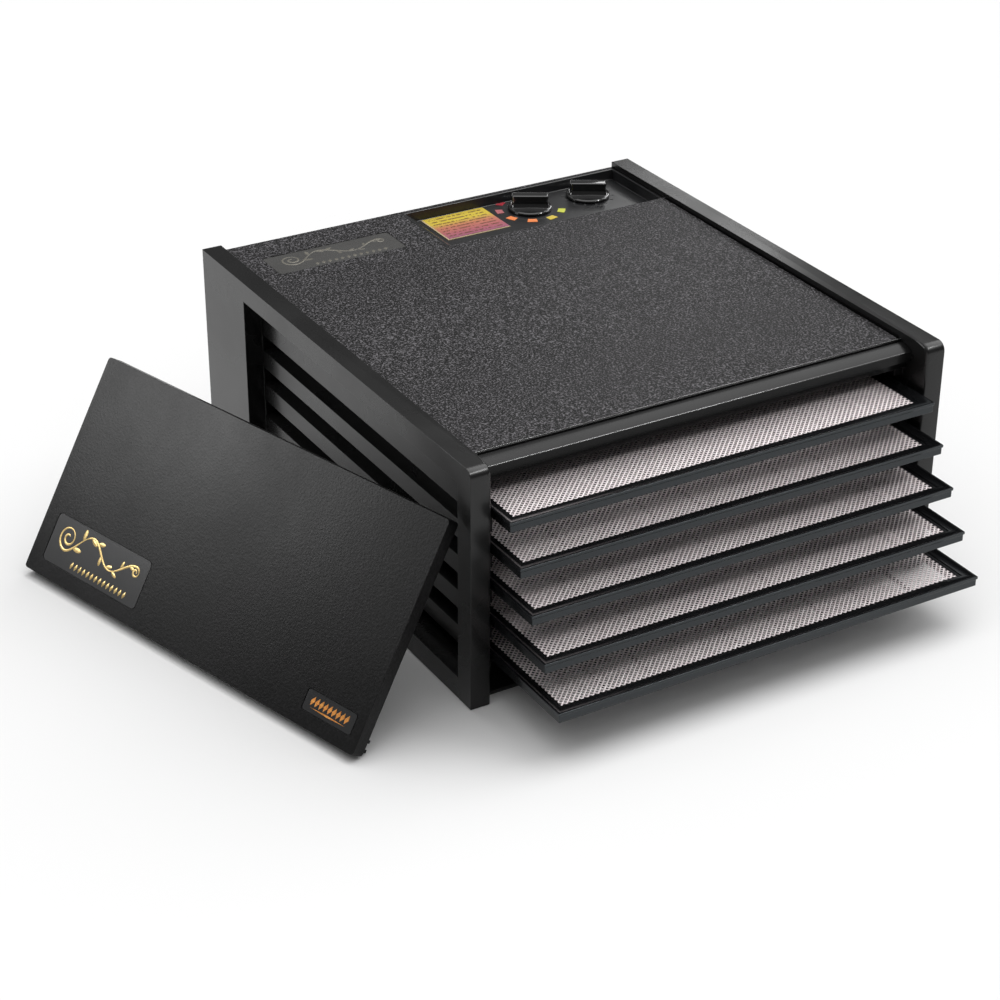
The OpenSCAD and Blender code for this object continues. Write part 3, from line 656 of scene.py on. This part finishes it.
def add_top():
    """Grained top: the stepped front header with the raised field in one moulding, and the rear deck."""
    low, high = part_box("top_panel")
    top = high.z
    deck = top - DECK_DROP
    lip = low.y
    lip_top = top - LIP_DROP
    shelf = top - SHELF_DROP
    groove_front = FIELD_FRONT - 1.6 * MM
    bead_front = FIELD_FRONT - 6.5 * MM
    apron = lip + 5.3 * MM
    outline = [(FIELD_REAR, top), (FIELD_FRONT, top), (FIELD_FRONT, shelf), (groove_front, shelf),
               (groove_front - 0.8 * MM, shelf + 1.0 * MM), (bead_front, shelf + 0.6 * MM), (lip, lip_top),
               (lip, top - LIP_FACE_END), (apron, top - LIP_FACE_END - MM), (apron, low.z),
               (apron + TOP_SKIN, low.z), (apron + TOP_SKIN, top - 13 * MM),
               (FIELD_FRONT + TOP_SKIN, top - 10 * MM), (FIELD_FRONT + TOP_SKIN, top - TOP_SKIN),
               (FIELD_REAR, top - TOP_SKIN)]
    bm = outline_along_x(outline, low.x, high.x)
    slice_at(bm, 0, [low.x + SEAM, high.x - SEAM])
    slice_at(bm, 1, [FIELD_REAR - MM])
    bm.normal_update()
    for x in (low.x, high.x - SEAM):
        strip = faces_facing(bm, 2, 1, (x, FIELD_FRONT, top - MM), (x + SEAM, FIELD_REAR - MM, top + MM))
        push(bm, strip, -SEAM_DEPTH, draft=0.1 * MM)
    for face in bm.faces:
        middle = face.calc_center_median()
        smooth_part = middle.y < FIELD_FRONT + 0.1 * MM or middle.z < top - 0.3 * MM
        face.material_index = HEADER_SLOT if smooth_part else GRAIN_SLOT
    front_edge = edges_near(bm, lambda co: abs(co.y - FIELD_FRONT) < 1e-5 and abs(co.z - top) < 1e-5)
    round_edges(bm, front_edge, FIELD_ROUND, steps=6)
    lip_edge = edges_near(bm, lambda co: abs(co.y - lip) < 1e-5 and abs(co.z - lip_top) < 1e-5)
    round_edges(bm, lip_edge, LIP_ROUND, steps=5)
    for face in bm.faces:
        middle = face.calc_center_median()
        on_field = middle.y < FIELD_FRONT + FIELD_ROUND and middle.z > top - FIELD_ROUND
        on_lip = middle.y < lip + LIP_ROUND and abs(middle.z - lip_top) < LIP_ROUND
        if on_field or on_lip:
            face.material_index = FIELD_EDGE_SLOT if on_field else LIP_EDGE_SLOT
    field = piece(bm, "top_field", "case", top_grain, ["top_panel"], 0.5 * MM, 3)
    for extra in (header_black, edge_gloss, knob_gloss):
        field.data.materials.append(extra)

    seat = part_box("top_badge")
    opening_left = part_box("control_panel")[0].x - 0.2 * MM
    opening_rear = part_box("control_panel")[1].y + 0.2 * MM
    plate = sunk_plate(opening_left - low.x, high.y - FIELD_REAR, 0.3 * MM, 0.25 * MM, TOP_SKIN,
                       [(seat[0].x - low.x, seat[0].y - FIELD_REAR, seat[1].x - seat[0].x, seat[1].y - seat[0].y,
                         3.5 * MM, 1.5 * MM)])
    bmesh.ops.translate(plate, vec=(low.x, FIELD_REAR, deck), verts=plate.verts)
    add_into(plate, block((opening_left, opening_rear, deck - TOP_SKIN), (high.x, high.y, deck)))
    piece(plate, "top_deck", "case", top_grain, (), 0.5 * MM, 2)


POCKET_DEPTH = 9.2 * MM
POCKET_SLOPE = 11 * MM


def add_control_pocket():
    """Glossy pocket that is sunk into the top, with a long slope on its left side."""
    low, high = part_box("control_panel")
    floor = high.z - POCKET_DEPTH
    rim = 2.5 * MM
    bm = block(low, high)
    slice_at(bm, 0, [low.x + rim, high.x - rim])
    slice_at(bm, 1, [low.y + 1.2 * MM, high.y - rim])
    cells = faces_facing(bm, 2, 1, (low.x + rim, low.y + MM, high.z - MM),
                         (high.x - rim, high.y - rim, high.z + MM))
    push(bm, cells, floor - high.z, draft=0.9 * MM)
    slope = [v for v in bm.verts if v.co.x < low.x + 5 * MM and abs(v.co.z - floor) < 0.1 * MM]
    bmesh.ops.translate(bm, vec=(POCKET_SLOPE, 0, 0), verts=slope)
    piece(bm, "control_tray", "case", control_gloss, ["control_panel"], 0.6 * MM, 3)
    nodes["food_chart"].data.materials.clear()
    nodes["food_chart"].data.materials.append(chart_print(*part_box("food_chart")))
    warm = ((0.0, PINK), (0.02, PINK), (0.05, ORANGE), (0.21, ORANGE), (0.25, YELLOW), (0.31, YELLOW),
            (0.34, LIME), (0.5, LIME), (0.8, RED), (0.92, RED), (0.94, PINK), (1.0, PINK))
    for node, stops in (("temperature", warm), ("timer", ((0.0, grey(0.03)), (1.0, grey(0.05))))):
        knob_low, knob_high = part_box(f"{node}_knob")
        scale = nodes[f"{node}_scale"]
        scale.data.materials.clear()
        scale.data.materials.append(dial_print(f"{node}_print", (knob_low + knob_high) / 2, stops))


GRIP_TURN = math.radians(-30)
GRIP_L = 33 * MM
GRIP_W = 10 * MM


def knob(low, high):
    """Skirt with a domed top and a tall grip bar that flares into it."""
    centre = Vector(((low.x + high.x) / 2, (low.y + high.y) / 2, low.z))
    radius = (high.x - low.x) / 2
    height = high.z - low.z
    outline = ((radius / MM, 0), (0.5, 0), (0, 0.5), (0, 1.9), (0.5, 2.5), (1.4, 2.7), (2.3, 2.2), (8, 2.5),
               (radius / MM, 3.0))
    profile = [(radius - inward * MM, up * MM) for inward, up in outline]
    skirt = bmesh.new()
    verts = [skirt.verts.new((r, 0, z)) for r, z in profile]
    line = [skirt.edges.new(pair) for pair in zip(verts, verts[1:])]
    bmesh.ops.spin(skirt, geom=verts + line, cent=(0, 0, 0), axis=(0, 0, 1), angle=math.tau, steps=96,
                   use_merge=True)
    bmesh.ops.remove_doubles(skirt, verts=skirt.verts, dist=1e-6)
    bmesh.ops.recalc_face_normals(skirt, faces=skirt.faces)
    grip = block((-GRIP_L / 2, -GRIP_W / 2, MM), (GRIP_L / 2, GRIP_W / 2, height))
    slice_at(grip, 2, [2.4 * MM, 4 * MM, 8.5 * MM])
    flare = ((0, 1.05, 1.5), (2.4 * MM, 1.03, 1.3), (4 * MM, 1.0, 1.12), (8.5 * MM, 0.98, 1.0))
    for level, wide, deep in flare:
        ring = [v for v in grip.verts if abs(v.co.z - max(level, MM)) < 0.1 * MM]
        bmesh.ops.scale(grip, vec=(wide, deep, 1), verts=ring)
    sides = [e for e in grip.edges if abs(e.verts[0].co.z - e.verts[1].co.z) > MM]
    round_edges(grip, sides, 2.4 * MM, steps=5)
    crown = [e for e in grip.edges if all(v.co.z > height - 1e-5 for v in e.verts)]
    round_edges(grip, crown, 1.2 * MM, steps=4)
    bmesh.ops.recalc_face_normals(grip, faces=grip.faces)
    bmesh.ops.rotate(grip, cent=(0, 0, 0), matrix=Matrix.Rotation(GRIP_TURN, 3, "Z"), verts=grip.verts)
    bm = union(skirt, grip)
    bmesh.ops.translate(bm, vec=centre, verts=bm.verts)
    return bm


def add_knobs():
    for name in ("temperature", "timer"):
        piece(knob(*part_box(f"{name}_knob")), f"{name}_handwheel", f"{name}_dial", knob_gloss, [f"{name}_knob"],
              0.4 * MM, 3, 28)


# ---------- ornaments ----------

def spiral(eye, first, last, start, turns, steps=44):
    """Points round eye whose distance changes from first to last, from the angle start on, in whole turns."""
    points = []
    for k in range(steps + 1):
        t = k / steps
        angle = start + math.tau * turns * t
        points.append(Vector(eye) + Vector((math.cos(angle), math.sin(angle))) * (first + (last - first) * t))
    return points


def vine(length, height):
    """Stem that unwinds from a large coil, waves to the right and ends in a small coil."""
    large, small = height * 0.42, height * 0.17
    coil = spiral((large, 0), height * 0.07, large, -math.pi / 2 - math.tau * 1.6, 1.6)
    run = length - large - small
    wave = []
    for k in range(1, 61):
        t = k / 60
        wave.append(Vector((large + run * t, -large * math.cos(math.tau * 1.5 * t) * (1 - 0.45 * t))))
    end = wave[-1]
    return coil + wave + spiral((end.x, end.y - small), small, height * 0.04, math.pi / 2, -1.3)[1:], len(coil)


def leaves(bm, points, first, height, raised):
    """Pairs of slim leaves that grow from the stem on alternating sides."""
    for n, k in enumerate(range(first + 5, first + 56, 6)):
        along = (points[k + 1] - points[k - 1]).normalized()
        side = 1 if n % 2 else -1
        turn = math.atan2(along.y, along.x) + side * math.radians(42)
        made = bmesh.ops.create_cone(bm, cap_ends=True, segments=10, radius1=0.5, radius2=0.3, depth=1)["verts"]
        size = height * (0.44 - 0.02 * n)
        bmesh.ops.scale(bm, vec=(size, size * 0.42, raised), verts=made)
        bmesh.ops.rotate(bm, cent=(0, 0, 0), matrix=Matrix.Rotation(turn, 3, "Z"), verts=made)
        out = Vector((math.cos(turn), math.sin(turn))) * size * 0.5
        bmesh.ops.translate(bm, vec=(points[k].x + out.x, points[k].y + out.y, 0), verts=made)


def stroke(points, width, height):
    """Raised line with a flat oval section that follows the points, as a bmesh in the XY plane."""
    line = bpy.data.curves.new("stroke", "CURVE")
    line.dimensions = "3D"
    line.bevel_depth = width / 2
    line.bevel_resolution = 2
    line.use_fill_caps = True
    spline = line.splines.new("POLY")
    spline.points.add(len(points) - 1)
    for k, (point, target) in enumerate(zip(points, spline.points)):
        target.co = (point[0], point[1], 0, 1)
        target.radius = 0.4 + 0.6 * abs(math.sin(k * 0.11))
    ob = bpy.data.objects.new("stroke", line)
    bpy.context.scene.collection.objects.link(ob)
    bm = bmesh.new()
    bm.from_mesh(ob.evaluated_get(bpy.context.evaluated_depsgraph_get()).to_mesh())
    bpy.data.objects.remove(ob)
    bmesh.ops.scale(bm, vec=(1, 1, height / width * 2), verts=bm.verts)
    return bm


def lozenges(bm, count, start, step, width, height, lean, raised):
    """A row of small leaning lozenges."""
    for k in range(count):
        made = bmesh.ops.create_cone(bm, cap_ends=True, segments=4, radius1=0.5, radius2=0.36, depth=1)["verts"]
        bmesh.ops.scale(bm, vec=(width, height, raised), verts=made)
        for vert in made:
            vert.co.x += vert.co.y * lean
        bmesh.ops.translate(bm, vec=(start[0] + k * step, start[1], 0), verts=made)


def flourish(length, height, line_w, raised, beads):
    """Vine with leaves over a row of lozenges."""
    upper = height * 0.72
    points, first = vine(length, upper)
    bm = stroke(points, line_w, raised)
    leaves(bm, points, first, upper, raised)
    bmesh.ops.translate(bm, vec=(0, height * 0.14, 0), verts=bm.verts)
    lozenges(bm, beads, (length * 0.26, -height * 0.39), length * 0.72 / beads, length * 0.56 / beads,
             height * 0.2, 0.25, raised)
    return bm


# ---------- door ----------

DOOR_YAW, DOOR_TILT = math.radians(73.9), math.radians(33.4)
DOOR_T = 13 * MM
DOOR_CORNER = 3 * MM
DOOR_ROUND = 1.8 * MM
BADGE_SEAT = 0.8 * MM
BADGE_PLAY = 0.7 * MM
LARGE_BADGE = tuple(v * MM for v in (15, 12.5, 118, 41.5))
SMALL_BADGE = tuple(v * MM for v in (328, 11.5, 53, 17.5))
door_turn = Matrix.Rotation(-DOOR_YAW, 4, "Z") @ Matrix.Rotation(-DOOR_TILT, 4, "X")
door_points = [door_turn.inverted() @ v.co for v in nodes["door_panel"].data.vertices]
door_foot = Vector(min(p[axis] for p in door_points) for axis in range(3))
door_size = Vector(max(p[axis] for p in door_points) for axis in range(3)) - door_foot
# From a sheet that lies in XY with its face up to the door's face, which looks to -Y before the turn.
door_sheet = door_turn @ Matrix.Translation(door_foot) @ Matrix.Rotation(math.pi / 2, 4, "X")


def add_door():
    width, height = door_size.x, door_size.z
    seats = [(*LARGE_BADGE, 4 * MM, BADGE_SEAT), (*SMALL_BADGE, 2.5 * MM, BADGE_SEAT)]
    bm = sunk_plate(width, height, DOOR_CORNER, DOOR_ROUND, DOOR_T, seats, 2.5 * MM, 0.8 * MM)
    bmesh.ops.transform(bm, matrix=door_sheet, verts=bm.verts)
    piece(bm, "door_shell", "door", door_grain, ["door_panel"], 0.35 * MM, 2, 40)
    for name, badge, material, slot, trim in (("large", LARGE_BADGE, gold, "badge_gold", 14),
                                              ("small", SMALL_BADGE, orange_foil, "badge_orange", 9)):
        left, low, w, h = badge
        corner = 3.4 * MM if name == "large" else 2 * MM
        plate = sunk_plate(w - 2 * BADGE_PLAY, h - 2 * BADGE_PLAY, corner, 0.3 * MM, 0.6 * MM, [])
        bmesh.ops.translate(plate, vec=(left + BADGE_PLAY, low + BADGE_PLAY, -0.15 * MM), verts=plate.verts)
        bmesh.ops.transform(plate, matrix=door_sheet, verts=plate.verts)
        piece(plate, f"badge_plate_{name}", "door", badge_dark, [f"door_badge_{name}"])
        if name == "large":
            art = flourish(w * 0.84, h * 0.86, 2.2 * MM, 0.25 * MM, trim)
            bmesh.ops.translate(art, vec=(left + w * 0.08, low + h * 0.5, -0.12 * MM), verts=art.verts)
        else:
            art = bmesh.new()
            lozenges(art, trim, (0, 0), w * 0.085, w * 0.085, h * 0.5, 0.35, 0.5 * MM)
            lozenges(art, 1, (w * 0.34, -h * 0.3), 0, w * 0.8, h * 0.1, 0, 0.4 * MM)
            bmesh.ops.translate(art, vec=(left + w * 0.16, low + h * 0.55, -0.1 * MM), verts=art.verts)
        bmesh.ops.transform(art, matrix=door_sheet, verts=art.verts)
        piece(art, f"badge_ornament_{name}", "door", material, ())


def add_top_badge():
    low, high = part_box("top_badge")
    w, h = high.x - low.x, high.y - low.y
    plate = sunk_plate(w, h, 3.2 * MM, 0.3 * MM, high.z - low.z, [])
    bmesh.ops.translate(plate, vec=(low.x, low.y, high.z), verts=plate.verts)
    piece(plate, "badge_plate_top", "case", badge_grey, ["top_badge"])
    art = flourish(w * 0.82, h * 0.84, 2.2 * MM, 0.2 * MM, 12)
    bmesh.ops.translate(art, vec=(low.x + w * 0.1, low.y + h * 0.5, high.z), verts=art.verts)
    piece(art, "badge_ornament_top", "case", pale_foil, ())


# ---------- trays ----------

TRAY_RIM_SIDE = 12.2 * MM
TRAY_RIM_FRONT = 15 * MM
CELLS = 9
BAR_W = 2.4 * MM


def tray_frame(low, high):
    """Rim with a lip, a sloping band, a step and a seat, round a lattice floor."""
    bm = block(low, high)
    slice_at(bm, 2, [low.z + 5.6 * MM, low.z + 6.2 * MM])
    centre = (low + high) / 2
    lower = [v for v in bm.verts if v.co.z < low.z + 6 * MM]
    for axis, inset in ((0, 0.8 * MM), (1, 0.8 * MM)):
        for vert in lower:
            vert.co[axis] -= math.copysign(inset, vert.co[axis] - centre[axis])
    bm.normal_update()
    top = faces_facing(bm, 2, 1, (low.x, low.y, high.z - 1e-5), (high.x, high.y, high.z + 1e-5))
    bottom = faces_facing(bm, 2, -1, (low.x, low.y, low.z - 1e-5), (high.x, high.y, low.z + 1e-5))
    slope = (5.4, -1.6)
    band = ((1.7, 0.0), (0.5, -0.5), slope, (0.4, -0.7), (2.0, -0.1), (0.3, -1.2), (1.9, 0.0))
    for step in band:
        thickness, depth = (v * MM for v in step)
        bmesh.ops.inset_region(bm, faces=top, thickness=thickness, depth=depth, use_even_offset=True)
        if step == slope:
            ends = {vert for face in top for vert in face.verts}
            for vert in ends:
                vert.co.y -= math.copysign(TRAY_RIM_FRONT - TRAY_RIM_SIDE, vert.co.y - centre.y)
    bmesh.ops.inset_region(bm, faces=bottom, thickness=sum(b[0] for b in band) * MM - 0.8 * MM, depth=0,
                           use_even_offset=True)
    inner = {vert for face in bottom for vert in face.verts}
    for vert in inner:
        vert.co.y -= math.copysign(TRAY_RIM_FRONT - TRAY_RIM_SIDE, vert.co.y - centre.y)
    loops = [edge for face in top + bottom for edge in face.edges]
    bmesh.ops.delete(bm, geom=top + bottom, context="FACES_ONLY")
    bmesh.ops.bridge_loops(bm, edges=loops)
    return bm


def lattice(low, high):
    """Square lattice under the screen, made from a grid whose cells are opened."""
    bm = bmesh.new()
    bmesh.ops.create_grid(bm, x_segments=CELLS, y_segments=CELLS, size=0.5)
    bmesh.ops.scale(bm, vec=(high.x - low.x, high.y - low.y, 1), verts=bm.verts)
    bmesh.ops.translate(bm, vec=((low.x + high.x) / 2, (low.y + high.y) / 2, high.z), verts=bm.verts)
    cells = list(bm.faces)
    bmesh.ops.inset_individual(bm, faces=cells, thickness=BAR_W / 2, depth=0, use_even_offset=True)
    bmesh.ops.delete(bm, geom=cells, context="FACES")
    made = bmesh.ops.extrude_face_region(bm, geom=bm.faces[:], use_keep_orig=True)["geom"]
    verts = [item for item in made if isinstance(item, bmesh.types.BMVert)]
    bmesh.ops.translate(bm, vec=(0, 0, low.z - high.z), verts=verts)
    return bm


STRAND_PITCH = 3.2 * MM
STRAND_W = 1.3 * MM
STRAND_SIDES = 8


def screen(low, high):
    """Flexible screen: two layers of flattened strands that cross on the diagonals, trimmed to the seat."""
    bm = bmesh.new()
    thick = high.z - low.z
    half_turn = math.pi / STRAND_SIDES
    across = math.cos(half_turn)
    half_span = (high.x - low.x + high.y - low.y) / math.sqrt(8)
    count = math.ceil(half_span / STRAND_PITCH)
    lay_flat = Matrix.Rotation(math.pi / 2, 4, "Y") @ Matrix.Rotation(half_turn, 4, "Z")
    for turn, height, drop in ((math.pi / 4, thick, 0.0), (-math.pi / 4, 0.8 * thick, 0.05 * MM)):
        middle = (low + high) / 2
        middle.z = high.z - height / 2 - drop
        frame_of_layer = Matrix.Translation(middle) @ Matrix.Rotation(turn, 4, "Z")
        flatten = Matrix.Diagonal((1, STRAND_W / across, height / across, 1)) @ lay_flat
        for k in range(-count, count + 1):
            place = frame_of_layer @ Matrix.Translation((0, k * STRAND_PITCH, 0)) @ flatten
            bmesh.ops.create_cone(bm, cap_ends=True, segments=STRAND_SIDES, radius1=0.5, radius2=0.5,
                                  depth=2.5 * half_span, matrix=place)
    for axis, place, side in ((0, low.x, -1), (0, high.x, 1), (1, low.y, -1), (1, high.y, 1)):
        outward = Vector((0, 0, 0))
        outward[axis] = side
        bmesh.ops.bisect_plane(bm, geom=bm.verts[:] + bm.edges[:] + bm.faces[:], dist=1e-7,
                               plane_co=outward * place * side, plane_no=outward, clear_outer=True)
        bmesh.ops.holes_fill(bm, edges=[edge for edge in bm.edges if edge.is_boundary], sides=0)
    return bm


def add_trays():
    for n in TRAYS:
        piece(tray_frame(*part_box(f"tray_frame_{n}")), f"tray_rim_{n}", f"tray_{n}", tray_gloss,
              [f"tray_frame_{n}"], 0.3 * MM, 2)
        piece(lattice(*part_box(f"tray_grid_{n}")), f"tray_lattice_{n}", f"tray_{n}", tray_gloss,
              [f"tray_grid_{n}"], 0.3 * MM, 1)
        piece(screen(*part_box(f"tray_mesh_{n}")), f"screen_{n}", f"tray_{n}", screen_white, [f"tray_mesh_{n}"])


# ---------- pieces that keep their CAD shape ----------

KEPT = {
    inner_black: ("bottom_panel", "rear_panel", "intake_grille", "chamber_ceiling", "rear_baffle", "fan_guard"),
    door_grain: ("door_back",),
    steel: ("temperature_shaft", "timer_shaft", "control_nuts", "motor_shaft", "motor_screws", "baffle_screws",
            "front_bearing_bridge", "rear_bearing_bridge", "motor_bracket", "heater_coil"),
    case_black: ("rear_screws",),
    lamination: ("motor_stator", "motor_rotor_core"),
    copper: ("motor_coil",),
    bronze: ("motor_bushes",),
    mica: ("heater_frame", "heater_posts", "thermal_cutoff", "terminal_block", "thermostat_body", "timer_body"),
    wire_red: ("wiring_harness",),
    rubber: ("cord_gland",),
    nylon: ("fan_rotor",),
}


def finish_kept():
    for material, names in KEPT.items():
        for name in names:
            nodes[name].data.materials.clear()
            nodes[name].data.materials.append(material)


add_side_panels()
add_top()
add_control_pocket()
add_knobs()
add_top_badge()
add_door()
add_trays()
finish_kept()
